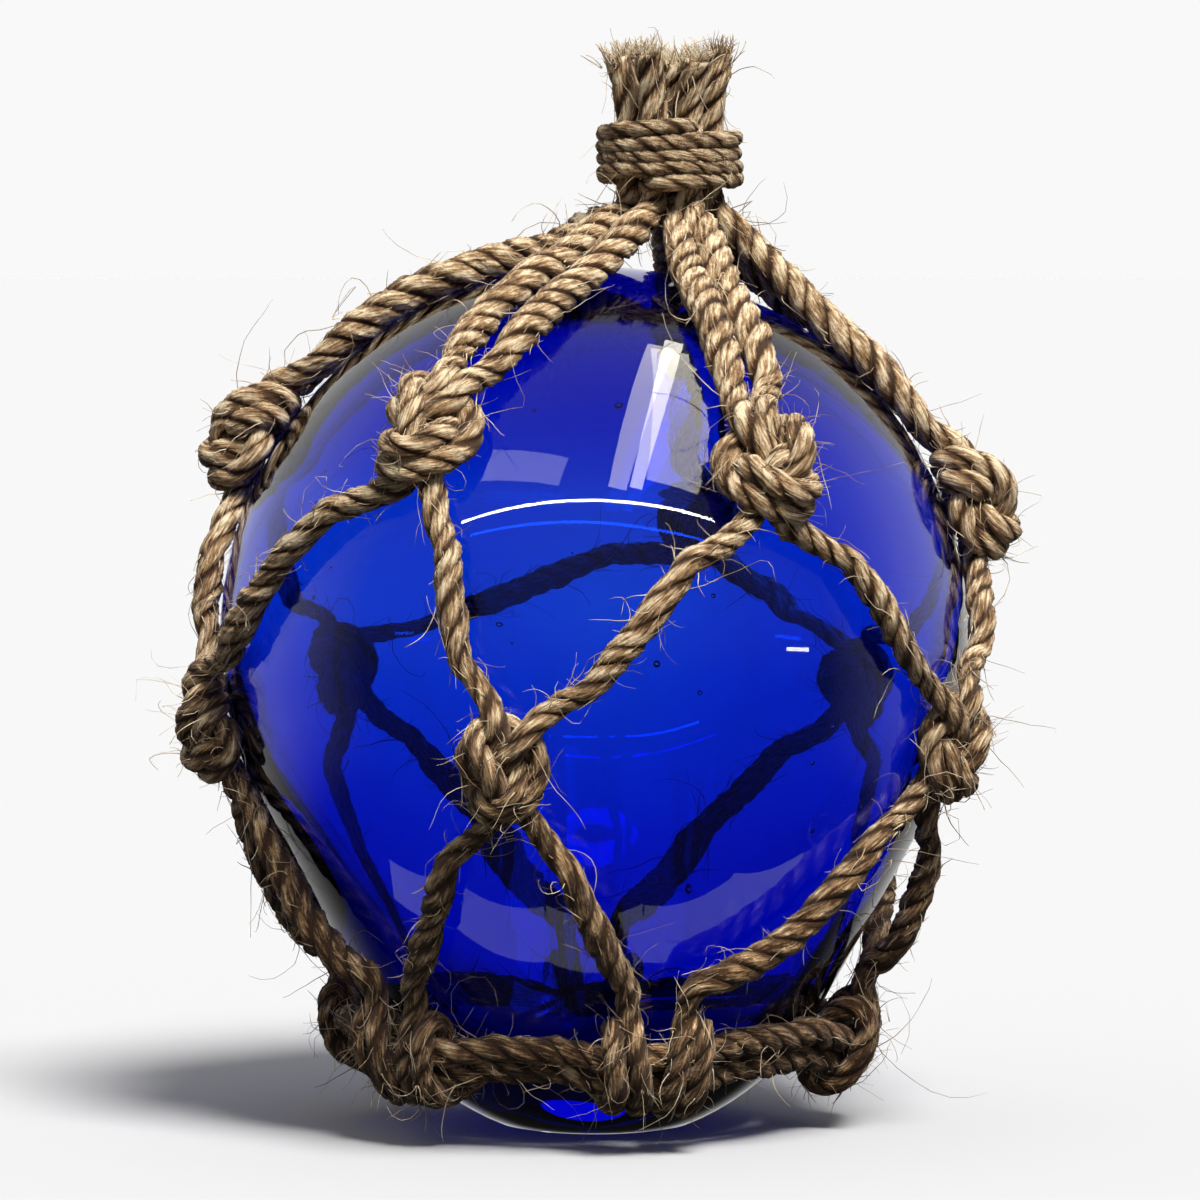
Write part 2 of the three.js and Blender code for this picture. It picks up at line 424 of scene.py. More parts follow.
# The length in which a ply goes once round
LAY = 8.5
BINDING_LAY = 5.5
TWINE_STEP = 0.45
BINDING_STEP = 0.4
# Where a section's points lie in each ply: more of them near the groove between two plies
PLY_POINTS = {
    3: (0, 0.12, 0.32, 0.62, 0.95, 1.14, 1.47, 1.77, 1.97),
    2: (0, 0.2, 0.55, 1.1, 2.04, 2.59, 2.94),
}
GROOVE_WIDE, GROOVE_NARROW = 0.06, 0.2
# Unevenness: how far apart along the twine the random values lie, and their spread
WANDER = (3, 0.07)
TWIST = (6, 0.55)
SWELL = (4, 0.05)
PLY_SWELL = (4, 0.06)
ROUGHNESS = (1.6, 0.05)
PLY_TURN = (5, 0.1)
# The last one: how much the painted shade in the ply grooves varies along each ply
GROOVE_SHADE_UNEVEN = (2.5, 0.12)
# The fibres' texture: the radius it is wound on, how much of the twist it follows, its shift
TEXTURE_RADIUS = 1.5
TEXTURE_TWIST = 0.75
TEXTURE_SHIFT = 50


def along_noise(s, step, spread, columns=1):
    """Random values that change smoothly along a strand."""
    knots = np.arange(0, s[-1] + 2 * step, step)
    values = rng.normal(0, spread, (columns, len(knots)))
    return np.stack([np.interp(s, knots, row) for row in values], axis=1)


def section(plies):
    """The angles of a section's points, its radius there, and how deep in a groove each is."""
    span = 2 * math.pi / plies
    angle = np.concatenate([np.array(PLY_POINTS[plies]) + span * k for k in range(plies)])
    depth = np.abs((angle % span) / (span / 2) - 1)
    return angle, 1 - GROOVE_WIDE * depth**2 - GROOVE_NARROW * depth**5, depth


def tube_faces(rings, count, base):
    """The sides and the two ends of a tube of rings with count points each."""
    i = np.arange(rings - 1)[:, None] * count
    j = np.arange(count)[None, :]
    j2 = (j + 1) % count
    sides = np.stack([i + j, i + j2, i + count + j2, i + count + j], axis=-1).reshape(-1, 4)
    end = np.arange(count)
    faces = (sides + base).tolist()
    return faces + [(base + end[::-1]).tolist(), (base + (rings - 1) * count + end).tolist()]


def twine_mesh(name, paths, diameter, plies=3, lay=LAY, step=TWINE_STEP):
    """A mesh of twisted twines along paths, each its points and its scale of thickness."""
    angle, shape, depth = section(plies)
    count = len(angle)
    ply = np.repeat(np.arange(plies), count // plies)
    verts, faces, fibre, groove = [], [], [], []
    base = 0
    for path, scale in paths:
        p, scale = resample(path, step, scale)
        s = lengths_along(p)
        p = p + along_noise(s, *WANDER, 3)
        _, n, b = frames_along(p)
        twist = 2 * math.pi * s / lay + along_noise(s, *TWIST)[:, 0]
        swell = 1 + along_noise(s, *SWELL)[:, 0]
        uneven = 1 + along_noise(s, *PLY_SWELL, plies)[:, ply] * (1 - depth)
        rough = along_noise(s, *ROUGHNESS, count) * (1 - 0.5 * depth)
        radius = (diameter / 2 * scale * swell)[:, None] * (shape[None, :] * uneven + rough)
        a = angle[None, :] + twist[:, None] + along_noise(s, *PLY_TURN, plies)[:, ply]
        across = np.cos(a)[..., None] * n[:, None, :] + np.sin(a)[..., None] * b[:, None, :]
        verts.append((p[:, None, :] + radius[..., None] * across).reshape(-1, 3))
        faces += tube_faces(len(p), count, base)
        turned = angle[None, :] + TEXTURE_TWIST * twist[:, None]
        wound = [TEXTURE_RADIUS * np.cos(turned), TEXTURE_RADIUS * np.sin(turned)]
        place = np.stack([*wound, np.repeat(s[:, None], count, 1)], axis=-1)
        fibre.append((place + rng.uniform(0, TEXTURE_SHIFT, 3)).reshape(-1, 3))
        # How deep in a ply's groove each point lies, varied along each ply: it carries the
        # painted shade in the grooves
        tone = 1 + along_noise(s, *GROOVE_SHADE_UNEVEN, plies)[:, ply]
        groove.append((depth[None, :] * tone).ravel())
        base += len(p) * count
    piece = make_piece(name, np.vstack(verts), faces)
    add_attribute(piece, "groove", "FLOAT", "value", np.concatenate(groove))
    add_attribute(piece, "fibre", "FLOAT_VECTOR", "vector", np.vstack(fibre))
    return piece


def make_piece(name, verts, faces):
    mesh = bpy.data.meshes.new(name)
    mesh.from_pydata((verts * MM).tolist(), [], faces)
    mesh.polygons.foreach_set("use_smooth", [True] * len(mesh.polygons))
    mesh.update()
    piece = bpy.data.objects.new(name, mesh)
    bpy.context.collection.objects.link(piece)
    return piece


def add_attribute(piece, name, kind, field, values):
    layer = piece.data.attributes.new(name, kind, "POINT")
    layer.data.foreach_set(field, values.astype(np.float32).ravel())


# The strands' routes

# The ring's cords: how much nearer they lie than in the solids, how far off the glass, and
# how far they lift over the strands that pass behind them, and how wide that is in degrees
RING_DRAWN_IN = 0.92
RING_OFF = 0.1
RING_LIFT = 2.0
RING_LIFT_ANGLE = 17.0
RING_THIN = 0.98
# Waves of each cord: how often round, the second cord's shift in degrees, and the height
RING_WAVES = [(3, 140, 0.25), (7, 60, 0.15)]
# Thickness of a strand at its cut end, in a hitch, and between its knots from the top down
END_THIN = 0.97
HITCH_THIN = 0.82
BETWEEN_THICK = (1.22, 1.0, 1.02)
# How far a strand strays between knots, how far the upper pairs bow apart, and how far the
# lower strands hang down at the sides
STRAY = 0.15
BOW = 0.5
SLACK = 3.0

# The end of a strand: over the ring, under it and up behind it, and once more beside that.
# Right, up and out, in millimetres.
HITCH = [
    (3.3, 8.8, 0.1),
    (2.9, 6.4, 0.5),
    (2.3, 3.6, 2.8),
    (1.6, 0.2, 4.3),
    (1.2, -2.8, 3.5),
    (1.3, -4.4, 1.3),
    (1.9, -3.4, -0.3),
    (3.0, 0.0, -0.5),
    (3.9, 3.0, -0.2),
    (4.4, 4.8, 1.0),
    (4.4, 3.6, 2.9),
    (4.0, 0.2, 4.1),
    (3.5, -2.9, 3.4),
    (3.7, -4.4, 1.2),
    (4.4, -3.2, -0.4),
    (5.0, 0.0, -0.6),
]
HITCH_SECOND_TURN = 9
HITCH_STRAY = 0.25


def hitch_points(place, side):
    local = np.array(HITCH) * np.array([side, 1, 1])
    second = local[HITCH_SECOND_TURN:]
    second += rng.normal(0, HITCH_STRAY, second.shape)
    return clear_of_glass(to_world(place, local), CLEARANCE + HITCH_THIN * TWINE / 2)


def route(column, side, knots):
    """A strand from its cut end to its hitch on the ring: points, and its scale at each."""
    upper = knots[(0, column)][SIDES.index(side)]
    second_column = column if side > 0 else column - 1
    lower = knots[(1, second_column % COLUMNS)][SIDES.index(-side)]
    third_column = second_column if side > 0 else second_column + 1
    cut = GATHER_TOP + ENDS_LENGTH - rng.uniform(0.2, 1.6)
    gather = [
        (cut, 1.32),
        (GATHER_TOP + 3, 1.12),
        (GATHER_TOP - 0.5, 1.0),
        (GATHER_BOTTOM + 1.0, 1.0),
        (GATHER_BOTTOM - 1.5, 1.05),
    ]
    head = np.array([bundle_point(column, side, height, spread) for height, spread in gather])
    tail = hitch_points(ring_place(knot_place(2, third_column)["azimuth"]), side)
    parts = [head, upper, lower, tail]
    thick = [END_THIN, *KNOT_THIN, HITCH_THIN]
    bow = side * BOW * knot_place(0, column)["right"]
    turned = math.radians(knot_place(1, second_column)["azimuth"])
    sag = np.array([0, 0, -SLACK * abs(math.sin(turned))])
    points, scales = [head], [np.full(len(head), thick[0])]
    for i, (before, after) in enumerate(zip(parts[:-1], parts[1:])):
        a, b = before[-1], after[0]
        count = max(3, int(np.linalg.norm(b - a) / 4))
        t = np.linspace(0, 1, count + 2)[1:-1, None]
        sway = rng.normal(0, STRAY, 3) + (bow, 0, sag)[i]
        line = a + (b - a) * t + np.sin(math.pi * t) * sway
        points += [clear_of_glass(line, CLEARANCE + TWINE / 2), after]
        scales += [np.full(count, BETWEEN_THICK[i]), np.full(len(after), thick[i + 1])]
    points, scales = np.vstack(points), np.concatenate(scales)
    s = lengths_along(points)
    curve = spline(points, CURVE_STEP)
    curve_s = lengths_along(curve)
    scale = np.interp(curve_s / curve_s[-1], s / s[-1], scales)
    curve, scale = resample(curve, CURVE_STEP, scale)
    scale = np.convolve(np.pad(scale, 4, mode="edge"), np.ones(9) / 9, mode="valid")
    return smooth(curve, 3), scale


def ring_paths():
    """The two cords of the ring. They lift where the strands pass behind them."""
    a = np.linspace(0, 360, 361)
    lift = np.zeros_like(a)
    for column in range(COLUMNS):
        away = (a - knot_place(2, column)["azimuth"] + 180) % 360 - 180
        lift = np.maximum(lift, RING_LIFT * np.exp(-((away / RING_LIFT_ANGLE) ** 4)))
    paths = []
    for cord in (0, 1):
        up = (0.5 - cord) * RING_CORD_SPACING * RING_DRAWN_IN
        wave = sum(
            height * np.sin(np.radians(times * a + shift * cord))
            for times, shift, height in RING_WAVES
        )
        points = []
        for azimuth, out, stray in zip(a, lift, wave):
            at = ring_place(azimuth)
            points.append(at["centre"] + at["up"] * (up + stray) + at["out"] * (out + RING_OFF))
        points = clear_of_glass(np.array(points), CLEARANCE + TWINE / 2)
        paths.append((smooth(points, 2), np.full(len(points), RING_THIN)))
    return paths


# The whipping's ends run on by an angle, and tuck in within another one, in radians
OVERRUN = 0.5
TUCK, TUCK_WITHIN = 1.6, 0.3


def whipping_path():
    turns = WHIPPING_TURNS
    a = np.linspace(-OVERRUN, 2 * math.pi * turns + OVERRUN, 60 * turns)
    end = np.minimum(a - a[0], a[-1] - a)
    radius = BUNDLE_RADIUS + CLEARANCE + WHIPPING_TWINE / 2
    radius = radius - TUCK * np.exp(-((end / TUCK_WITHIN) ** 2))
    radius = radius + 0.12 * np.sin(5 * a + 1) - 0.1
    height = GATHER_BOTTOM + WHIPPING_TWINE * (0.5 + a / (2 * math.pi) * (turns - 1) / turns)
    height = height + 0.15 * np.sin(1.3 * a)
    points = GATHER + np.stack([np.sin(a) * radius, -np.cos(a) * radius, height], axis=1)
    return [(points, np.ones(len(points)))]


# Stray fibres

# How far they reach: a little past the solids, and not into the floor
FIBRE_BOX = np.array([[-46.4, -45.2, 0.15], [45.9, 44.0, 111.6]])
FIBRE_CLEARANCE = 0.08
FIBRE_WAVER = 0.12
FIBRE_TIP = 0.35
FIBRE_SIDES = 3
# Kinds of fibre. Length: the least, the mean beyond it, the most. Lift: how steeply they
# leave the twine. Curl: radians for each millimetre. Then their radius.
FIBRE_KINDS = [
    ("net_fuzz", 2700, (0.8, 1.6, 6.0), (0.3, 2.0), (0.1, 0.5), (0.035, 0.06)),
    ("net_stray_fibres", 800, (2.5, 4.0, 17.0), (0.2, 1.2), (0.08, 0.4), (0.045, 0.075)),
    ("net_loose_fibres", 2600, (1.5, 1.6, 6.0), (0.0, 0.22), (0.0, 0.15), (0.045, 0.1)),
]
FRAY_FIBRES = 60


def fibre_mesh(name, roots, directions, lengths, curls, thick, points=9):
    """Thin curved fibres as closed three-sided tubes."""
    count = len(roots)
    d = unit(directions)
    step = (lengths / (points - 1))[:, None]
    p = roots.copy()
    track, ways = [p.copy()], [d.copy()]
    for _ in range(points - 1):
        d = unit(d + np.cross(curls, d) * step + rng.normal(0, FIBRE_WAVER, (count, 3)))
        p = np.clip(clear_of_glass(p + d * step, FIBRE_CLEARANCE), FIBRE_BOX[0], FIBRE_BOX[1])
        track.append(p.copy())
        ways.append(d.copy())
    track, ways = np.stack(track, axis=1), np.stack(ways, axis=1)
    side = unit(np.cross(ways, np.array([0.31, 0.52, 0.79])))[:, :, None, :]
    other = np.cross(ways[:, :, None, :], side)
    taper = np.linspace(1, FIBRE_TIP, points)[None, :, None, None] * thick[:, None, None, None]
    a = (2 * math.pi / FIBRE_SIDES * np.arange(FIBRE_SIDES))[None, None, :, None]
    verts = track[:, :, None, :] + (np.cos(a) * side + np.sin(a) * other) * taper
    faces = []
    for base in range(0, count * points * FIBRE_SIDES, points * FIBRE_SIDES):
        faces += tube_faces(points, FIBRE_SIDES, base)
    return make_piece(name, verts.reshape(-1, 3), faces)


def stray_fibres(name, paths, count, lengths, lift, curl, thick):
    """Fibres that stand off the twine at random places."""
    p = np.vstack([path for path, _ in paths])
    t = unit(np.vstack([np.gradient(path, axis=0) for path, _ in paths]))
    size = np.concatenate([scale for _, scale in paths])
    pick = rng.integers(0, len(p), count)
    away = rng.normal(0, 1, (count, 3))
    away = unit(away - (away * t[pick]).sum(axis=1, keepdims=True) * t[pick])
    depth = (TWINE / 2 * 0.88 * size[pick])[:, None]
    roots = clear_of_glass(p[pick] + away * depth, FIBRE_CLEARANCE)
    sign = rng.choice([-1, 1], count)[:, None]
    directions = t[pick] * sign + away * rng.uniform(*lift, (count, 1))
    directions = directions + rng.normal(0, 0.1, (count, 3))
    least, mean, most = lengths
    length = np.minimum(least + rng.exponential(mean, count), most)
    curls = rng.normal(0, 1, (count, 3)) * rng.uniform(*curl, (count, 1))
    return fibre_mesh(name, roots, directions, length, curls, rng.uniform(*thick, count))


def frayed_ends(name, paths):
    """The loose fibres at the strands' cut ends."""
    roots, directions = [], []
    for path, _ in paths:
        t = unit(path[0] - path[3])
        spread = rng.normal(0, 0.5, (FRAY_FIBRES, 3)) * TWINE / 2 * 0.8
        spread -= (spread @ t)[:, None] * t
        roots.append(path[0] + spread - 0.6 * t)
        directions.append(t + 0.35 * spread + rng.normal(0, 0.15, (FRAY_FIBRES, 3)))
    count = FRAY_FIBRES * len(paths)
    lengths = rng.uniform(1.0, 3.0, count)
    curls = rng.normal(0, 0.15, (count, 3))
    thick = rng.uniform(0.06, 0.12, count)
    return fibre_mesh(
        name, np.vstack(roots), np.vstack(directions), lengths, curls, thick, points=6
    )


# Glass

OUTLINE_STEPS = 96
AROUND = 144
# The wall's thickness at the sides and low down, and what the foot and the crown add
WALL_THIN = 2.0
WALL_THICK = 3.4
FOOT_EXTRA = 2.0
CROWN_EXTRA = 1.8
# How uneven the outer and the inner surface are, and how often they rise and fall
OUTER_UNEVEN, INNER_UNEVEN = 0.12, 0.4
WAVE_FREQUENCY = 1.6
BUBBLES = 36
BUBBLE_DEPTH = -1.0
BUBBLE_AROUND, BUBBLE_ROWS = 18, 12


def wall_at(e):
    """The wall's thickness at an elevation in radians."""
    low = min(1.0, max(0.0, (math.sin(-e) + 0.1) / 0.9))
    wall = WALL_THIN + (WALL_THICK - WALL_THIN) * low
    wall += FOOT_EXTRA * max(0.0, -math.sin(e)) ** 6
    return wall + CROWN_EXTRA * max(0.0, math.sin(e) - 0.45) / 0.55


def glass_outline(inner):
    """Half of the outline of the outer or inner surface, from the middle of its foot up."""
    points = []
    for i in range(OUTLINE_STEPS + 1):
        e = -math.pi / 2 + math.pi * i / OUTLINE_STEPS
        away = float(reach(e, 0.0)) - (wall_at(e) if inner else 0.0)
        points.append((away * math.cos(e), max(away * math.sin(e) + BALL_HEIGHT, 0.0)))
    return points


WALL_WAVES = [(rng.normal(0, 2.2, 3), rng.uniform(0, 6.3)) for _ in range(12)]


def waves(points):
    """A slight unevenness of blown glass, about -1 to 1."""
    d = unit(points)
    return sum(np.sin(d @ way * WAVE_FREQUENCY + phase) for way, phase in WALL_WAVES) / 4


def turned_faces(rows, around):
    """The faces of a body of rows of points round an axis, closed by its first and last point."""
    k = range(around)
    top = 1 + rows * around
    last = top - around
    faces = [(0, 1 + (u + 1) % around, 1 + u) for u in k]
    for lo in range(1, last, around):
        hi = lo + around
        faces += [(lo + u, lo + (u + 1) % around, hi + (u + 1) % around, hi + u) for u in k]
    return faces + [(last + u, last + (u + 1) % around, top) for u in k]


def turned_points(outline, around):
    """The points of an outline, its radii and heights, turned round the axis."""
    a = 2 * math.pi * np.arange(around) / around
    rows = np.array(outline[1:-1])
    body = np.stack(
        [rows[:, :1] * np.cos(a), rows[:, :1] * np.sin(a), np.repeat(rows[:, 1:], around, 1)],
        axis=-1,
    ).reshape(-1, 3)
    return np.vstack([[[0, 0, outline[0][1]]], body, [[0, 0, outline[-1][1]]]])


def glass_mesh(name):
    """The glass: an outer surface, an inner one that faces in, and bubbles that do so too."""
    verts, faces = [], []

    def add(points, made, faces_out):
        base = sum(len(v) for v in verts)
        faces.extend(tuple(base + x for x in (f if faces_out else f[::-1])) for f in made)
        verts.append(points)

    for inner, uneven in ((False, OUTER_UNEVEN), (True, INNER_UNEVEN)):
        outline = glass_outline(inner)
        p = turned_points(outline, AROUND)
        arm = p - BALL_CENTRE
        wave = uneven * waves(arm)[:, None] * np.clip((p[:, 2:] - 1) / 6, 0, 1)
        add(p + unit(arm) * wave, turned_faces(len(outline) - 2, AROUND), not inner)
    around, rows = BUBBLE_AROUND, BUBBLE_ROWS
    levels = [-math.pi / 2 + math.pi * i / rows for i in range(rows + 1)]
    ball = turned_points([(math.cos(e), math.sin(e)) for e in levels], around)
    for centre, radius in wall_bubbles():
        add(centre + radius * ball, turned_faces(rows - 1, around), False)
    return make_piece(name, np.vstack(verts), faces)


def wall_bubbles():
    """Small bubbles in the middle of the wall: their middles and radii."""
    made = []
    for _ in range(BUBBLES):
        azimuth = rng.uniform(-180, 180)
        elevation = math.degrees(math.asin(rng.uniform(-0.75, 0.95)))
        away = float(reach(math.radians(elevation), BUBBLE_DEPTH))
        centre = outward(azimuth, elevation) * away + BALL_CENTRE
        made.append((centre, min(0.12 + rng.exponential(0.1), 0.5)))
    return made


# Materials


def new_material(name):
    material = bpy.data.materials.new(name)
    material.use_nodes = True
    nodes = material.node_tree.nodes
    return material, nodes, material.node_tree.links, nodes["Principled BSDF"]


def glass_material():
    material, nodes, links, shader = new_material("cobalt_glass")
    shader.inputs["Base Color"].default_value = (0.9, 0.94, 1.0, 1)
    shader.inputs["Roughness"].default_value = 0.01
    shader.inputs["IOR"].default_value = 1.5
    shader.inputs["Specular IOR Level"].default_value = 0.42
    shader.inputs["Transmission Weight"].default_value = 1.0
    absorption = nodes.new("ShaderNodeVolumeAbsorption")
    absorption.inputs["Color"].default_value = (0.0, 0.48, 0.922, 1)
    absorption.inputs["Density"].default_value = 1400.0
    links.new(absorption.outputs["Volume"], nodes["Material Output"].inputs["Volume"])
    return material


def math_node(nodes, links, operation, *values):
    node = nodes.new("ShaderNodeMath")
    node.operation = operation
    for socket, value in zip(node.inputs, values):
        if isinstance(value, (int, float)):
            socket.default_value = value
        else:
            links.new(value, socket)
    return node.outputs[0]


def noise_node(nodes, links, vector, scale, detail=2.0, roughness=0.5):
    node = nodes.new("ShaderNodeTexNoise")
    node.inputs["Scale"].default_value = scale
    node.inputs["Detail"].default_value = detail
    node.inputs["Roughness"].default_value = roughness
    links.new(vector, node.inputs["Vector"])
    return node.outputs["Fac"]


def range_node(nodes, links, value, start, end, result=1.0):
    """Rises from 0 at the start to the result at the end, and no further."""
    node = nodes.new("ShaderNodeMapRange")
    node.inputs["From Min"].default_value = start
    node.inputs["From Max"].default_value = end
    node.inputs["To Max"].default_value = result
    links.new(value, node.inputs["Value"])
    return node.outputs["Result"]


def ramp_node(nodes, links, value, stops, interpolation="LINEAR"):
    """Colours by value: pairs of a value and a colour, in rising order."""
    node = nodes.new("ShaderNodeValToRGB")
    ramp = node.color_ramp
    ramp.interpolation = interpolation
    for index, (position, colour) in ((0, stops[0]), (1, stops[-1])):
        ramp.elements[index].position = position
        ramp.elements[index].color = (*colour, 1)
    for position, colour in stops[1:-1]:
        ramp.elements.new(position).color = (*colour, 1)
    links.new(value, node.inputs["Fac"])
    return node.outputs["Color"]


def jute_material(name, dark, middle, light):
    """Twine: streaks along its fibres, painted shade in the grooves of its plies, and darker low
    down, partly its own browner tone and partly painted shade.
    """
    material, nodes, links, shader = new_material(name)
    fibre = nodes.new("ShaderNodeAttribute")
    fibre.attribute_name = "fibre"
    groove = nodes.new("ShaderNodeAttribute")
    groove.attribute_name = "groove"
    stretch = nodes.new("ShaderNodeMapping")
    stretch.inputs["Scale"].default_value = (1.0, 1.0, 0.16)
    links.new(fibre.outputs["Vector"], stretch.inputs["Vector"])
    streaks = noise_node(nodes, links, stretch.outputs[0], 2.9, detail=5.0, roughness=0.7)
    coords = nodes.new("ShaderNodeTexCoord")
    patches = noise_node(nodes, links, coords.outputs["Object"], 420.0, detail=3.0)
    # Painted shade: darker the deeper a point lies in the groove between two plies
    deep = math_node(nodes, links, "POWER", groove.outputs["Fac"], 3.0)
    tone = math_node(nodes, links, "MULTIPLY_ADD", patches, 0.45, streaks)
    tone = math_node(nodes, links, "MULTIPLY_ADD", deep, -0.29, tone)
    # Darker low down: partly the jute's own browner tone there, partly painted shade, as less
    # light reaches the lower net
    height = nodes.new("ShaderNodeSeparateXYZ")
    links.new(coords.outputs["Object"], height.inputs[0])
    low = range_node(nodes, links, height.outputs["Z"], 0.060, 0.015, result=-0.12)
    tone = math_node(nodes, links, "ADD", tone, low)
    colour = ramp_node(nodes, links, tone, [(0.53, dark), (0.675, middle), (0.82, light)])
    links.new(colour, shader.inputs["Base Color"])
    shader.inputs["Roughness"].default_value = 0.8
    shader.inputs["Specular IOR Level"].default_value = 0.3
    shader.inputs["Sheen Weight"].default_value = 0.12
    bump = nodes.new("ShaderNodeBump")
    bump.inputs["Strength"].default_value = 0.9
    bump.inputs["Distance"].default_value = 0.0005
    links.new(streaks, bump.inputs["Height"])
    links.new(bump.outputs["Normal"], shader.inputs["Normal"])
    return material


def hair_material(name, dark, light):
    """Loose fibres: paler than the twine, a little shiny, of different tones."""
    material, nodes, links, shader = new_material(name)
    coords = nodes.new("ShaderNodeTexCoord")
    noise = noise_node(nodes, links, coords.outputs["Object"], 300.0)
    colour = ramp_node(nodes, links, noise, [(0.35, dark), (0.65, light)])
    links.new(colour, shader.inputs["Base Color"])
    shader.inputs["Roughness"].default_value = 0.5
    return material


# The pieces


def finish_piece(piece, material, node):
    piece.data.materials.append(material)
    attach(piece, "root")
    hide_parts(node)


def finish_net(piece, material):
    finish_piece(piece, material, "jute_net")


# Jute colours: dark, middle, light. The dark ends are also reached by the painted shade in the
# grooves and low down.
jute = jute_material("jute", (0.055, 0.024, 0.008), (0.39, 0.232, 0.108), (0.94, 0.78, 0.53))
binding = jute_material(
    "binding_jute", (0.055, 0.024, 0.008), (0.35, 0.21, 0.098), (0.86, 0.71, 0.47)
)
hair = hair_material("jute_fibre", (0.26, 0.16, 0.08), (0.84, 0.72, 0.52))

knots = tied_knots()
strands = [route(column, side, knots) for column in range(COLUMNS) for side in SIDES]
for index, letter in enumerate("abc"):
    finish_net(twine_mesh("net_strands_" + letter, strands[index::3], TWINE), jute)
rings = ring_paths()
finish_net(twine_mesh("net_ring", rings, TWINE), jute)
whipping = twine_mesh(
    "whipping", whipping_path(), WHIPPING_TWINE, plies=2, lay=BINDING_LAY, step=BINDING_STEP
)
finish_piece(whipping, binding, "gather_whipping")
for name, count, lengths, lift, curl, thick in FIBRE_KINDS:
    fibres = stray_fibres(name, strands + rings, count, lengths, lift, curl, thick)
    finish_net(fibres, hair)
finish_net(frayed_ends("frayed_ends", strands), hair)
finish_piece(glass_mesh("float_glass"), glass_material(), "glass_float")


# Floor and light

FLOOR_SIZE = 80.0
# The backdrop is as bright as the lit floor, so that no horizon shows
SEEN = 0.945
WARM = (1.0, 0.95, 0.78)
# Panels low round the ball, for the grey band above the ring: x, y and turn
LOW_STRIPS = [(-39, -25, -40), (-21, -34.5, -18), (0, -38, 0), (21, -34.5, 18), (39, -25, 40)]


def make_floor():
    bpy.ops.mesh.primitive_plane_add(size=FLOOR_SIZE, location=(0, 0, 0))
    floor = bpy.context.object
    floor.name = "floor"
    material, _, _, shader = new_material("floor")
    shader.inputs["Base Color"].default_value = (0.556, 0.565, 0.59, 1)
    shader.inputs["Roughness"].default_value = 1.0
    shader.inputs["Specular IOR Level"].default_value = 0.0
    floor.data.materials.append(material)
    floor.visible_glossy = False
    floor.visible_diffuse = False


def mirrored(x, z):
    """The way in which the ball, seen from the camera, mirrors what is round it there."""
    e = math.radians(CAMERA_ELEVATION)
    back = np.array([0, -math.cos(e), math.sin(e)])
    up = np.array([0, math.sin(e), math.cos(e)])
    high = z - BALL_HEIGHT
    toward = math.sqrt(BALL_RADIUS**2 - x**2 - high**2)
    normal = (np.array([x, 0, 0]) + high * up + toward * back) / BALL_RADIUS
    return 2 * (back @ normal) * normal - back


def panel(name, width, depth, radiance, shape="RECTANGLE"):
    """A lit panel, sizes in metres. It can't be seen itself, and doesn't light the jute."""
    data = bpy.data.lights.new(name, "AREA")
    data.shape = shape
    data.size, data.size_y = width, depth
    data.energy = radiance * math.pi * width * depth
    light = bpy.data.objects.new(name, data)
    light.visible_camera = False
    light.visible_diffuse = False
    bpy.context.collection.objects.link(light)
    return light


def card(name, left, right, low, high, radiance, lean=0.0, colour=(1, 1, 1), distance=1.6):
    """A panel whose mirror image covers a box of the picture, in millimetres. It may lean."""
    middle = BALL_CENTRE * MM
    corner = {
        (i, j): middle + mirrored(x + lean * j, z) * distance
        for i, x in enumerate((left, right))
        for j, z in enumerate((low, high))
    }
    centre = sum(corner.values()) / 4
    across = (corner[1, 0] + corner[1, 1] - corner[0, 0] - corner[0, 1]) / 2
    upward = (corner[0, 1] + corner[1, 1] - corner[0, 0] - corner[1, 0]) / 2
    width, tall = np.linalg.norm(across), np.linalg.norm(upward)
    light = panel(name, width, tall, radiance)
    light.data.color = colour
    out = Vector(centre - middle).normalized()
    if width > tall:
        x_axis = (Vector(across) - out * Vector(across).dot(out)).normalized()
        y_axis = out.cross(x_axis)
    else:
        y_axis = (Vector(upward) - out * Vector(upward).dot(out)).normalized()
        x_axis = y_axis.cross(out)
    rows = [[x_axis[i], y_axis[i], out[i], centre[i]] for i in range(3)]
    light.matrix_world = Matrix(rows + [[0, 0, 0, 1]])


def strip(name, x, y, turn, length, depth, radiance, height=1.0, shape="RECTANGLE"):
    """A low panel that faces up, sizes in millimetres. Only reflections show it."""
    light = panel(name, length * MM, depth * MM, radiance, shape)
    light.location = (x * MM, y * MM, height * MM)
    light.rotation_euler = (math.pi, 0, math.radians(turn))
    light.visible_transmission = False


def make_key():
    """The soft sun that lights the jute and the floor. The glass doesn't show it."""
    data = bpy.data.lights.new("key", "SUN")
    data.energy = 5.0
    data.color = (1.0, 0.97, 0.92)
    data.angle = math.radians(22)
    sun = bpy.data.objects.new("key", data)
    sun.rotation_euler = Vector((0.3, -0.62, 1.0)).to_track_quat("Z", "Y").to_euler()
    sun.visible_glossy = False
    sun.visible_transmission = False
    bpy.context.collection.objects.link(sun)


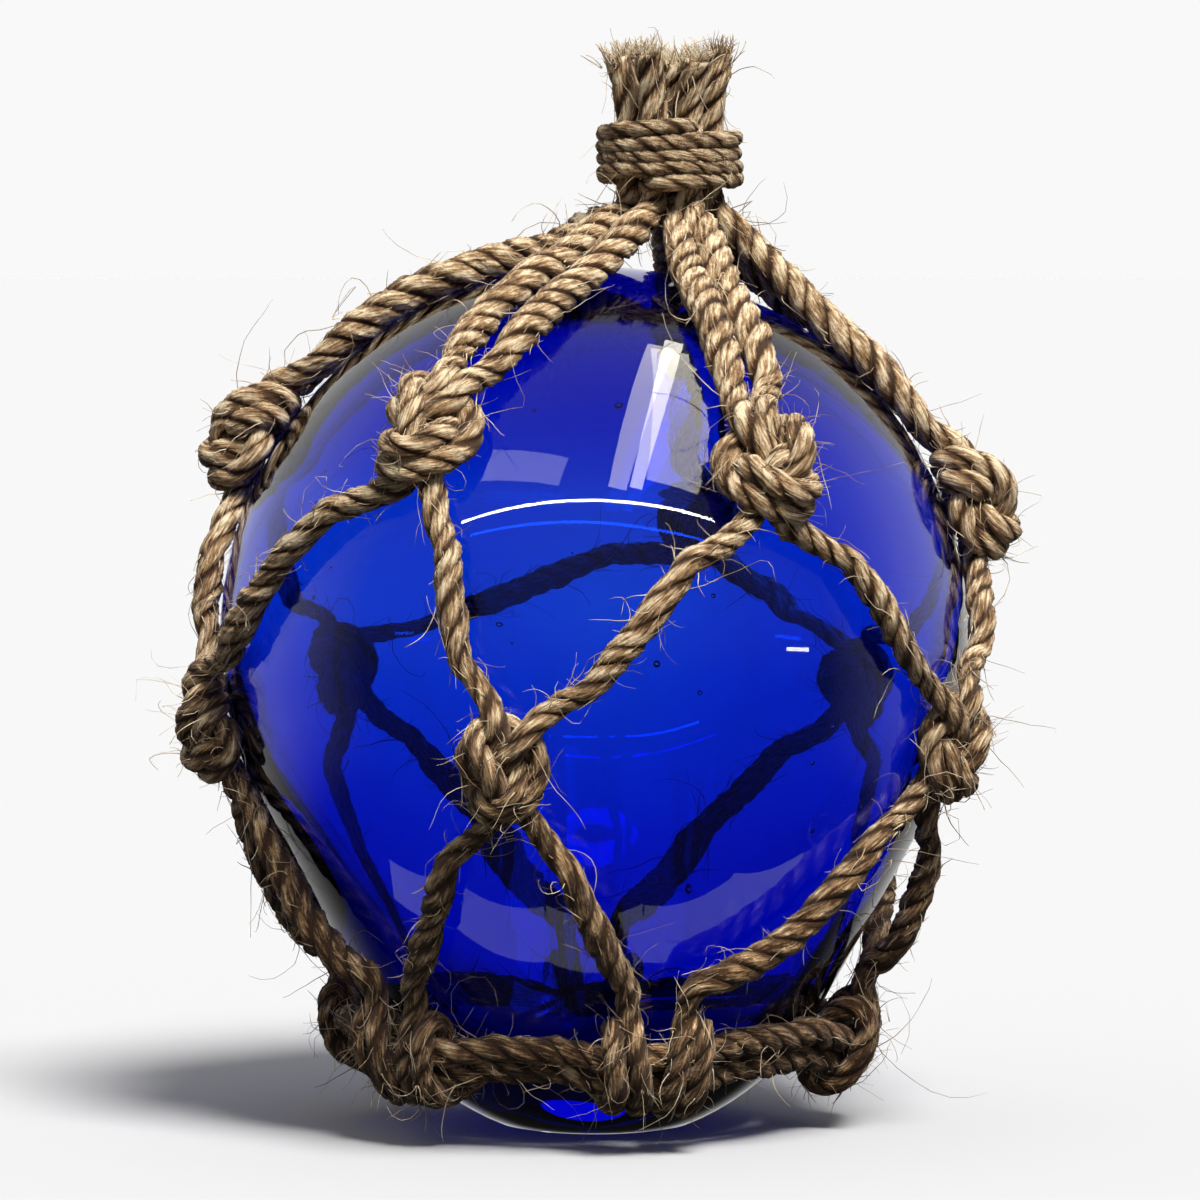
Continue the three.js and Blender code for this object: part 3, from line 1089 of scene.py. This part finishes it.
def make_world():
    """A pale studio: bright above, dim where the glass mirrors it, near white where seen."""
    world = bpy.data.worlds.new("world")
    world.use_nodes = True
    nodes, links = world.node_tree.nodes, world.node_tree.links
    nodes.clear()
    coords = nodes.new("ShaderNodeTexCoord")
    parts = nodes.new("ShaderNodeSeparateXYZ")
    links.new(coords.outputs["Generated"], parts.inputs[0])
    height = math_node(nodes, links, "MULTIPLY_ADD", parts.outputs["Z"], 0.5, 0.5)
    path = nodes.new("ShaderNodeLightPath")

    def background():
        node = nodes.new("ShaderNodeBackground")
        node.inputs["Color"].default_value = (1, 1, 1, 1)
        return node

    def sky(*levels):
        """Brightness by height, from -1 straight down to 1 straight up."""
        node = background()
        stops = [((up + 1) / 2, (level, level, level)) for up, level in levels]
        links.new(ramp_node(nodes, links, height, stops, "EASE"), node.inputs["Strength"])
        return node.outputs[0]

    def mix(factor, first, second):
        node = nodes.new("ShaderNodeMixShader")
        links.new(factor, node.inputs["Fac"])
        links.new(first, node.inputs[1])
        links.new(second, node.inputs[2])
        return node.outputs[0]

    seen = background()
    seen.inputs["Strength"].default_value = SEEN
    through = sky((-1, SEEN), (0.3, SEEN), (0.8, 0.4), (1, 0.35))
    before = sky((-1, 0.04), (-0.2, 0.05), (0.1, 0.12), (1, 0.3))
    behind = sky((-1, 0.01), (-0.55, 0.02), (-0.2, 0.6), (0.1, 0.95), (1, 0.6))
    mirror = mix(range_node(nodes, links, parts.outputs["Y"], -0.25, 0.4), before, behind)
    lit = mix(path.outputs["Is Glossy Ray"], sky((-1, 0.07), (0, 0.13), (1, 0.5)), mirror)
    lit = mix(path.outputs["Is Transmission Ray"], lit, through)
    lit = mix(path.outputs["Is Camera Ray"], lit, seen.outputs[0])
    links.new(lit, nodes.new("ShaderNodeOutputWorld").inputs["Surface"])
    bpy.context.scene.world = world


make_floor()
make_world()
card("window_left", 1.3, 3.4, 64.8, 78.5, 6.0, lean=4.0, colour=WARM)
card("window_streak", 3.5, 4.9, 64.8, 79.0, 11.0, lean=3.4, colour=WARM)
card("window_right", 5.0, 10.6, 64.8, 77.5, 6.0, lean=1.2, colour=WARM)
card("window_side", -14.3, -3.0, 65.0, 67.8, 2.5)
card("tube", -13.5, 13.0, 61.0, 61.25, 45.0)
card("glint", 18.9, 21.0, 48.7, 49.1, 20.0)
for index, (x, y, turn) in enumerate(LOW_STRIPS):
    strip("low_strip_%d" % index, x, y, turn, 22.0, 6.0, 0.85)
strip("foot_glow", -1.3, -5.0, 8.0, 9.0, 5.0, 3.0, height=0.03, shape="ELLIPSE")
make_key()
bpy.context.scene.view_settings.view_transform = "Standard"
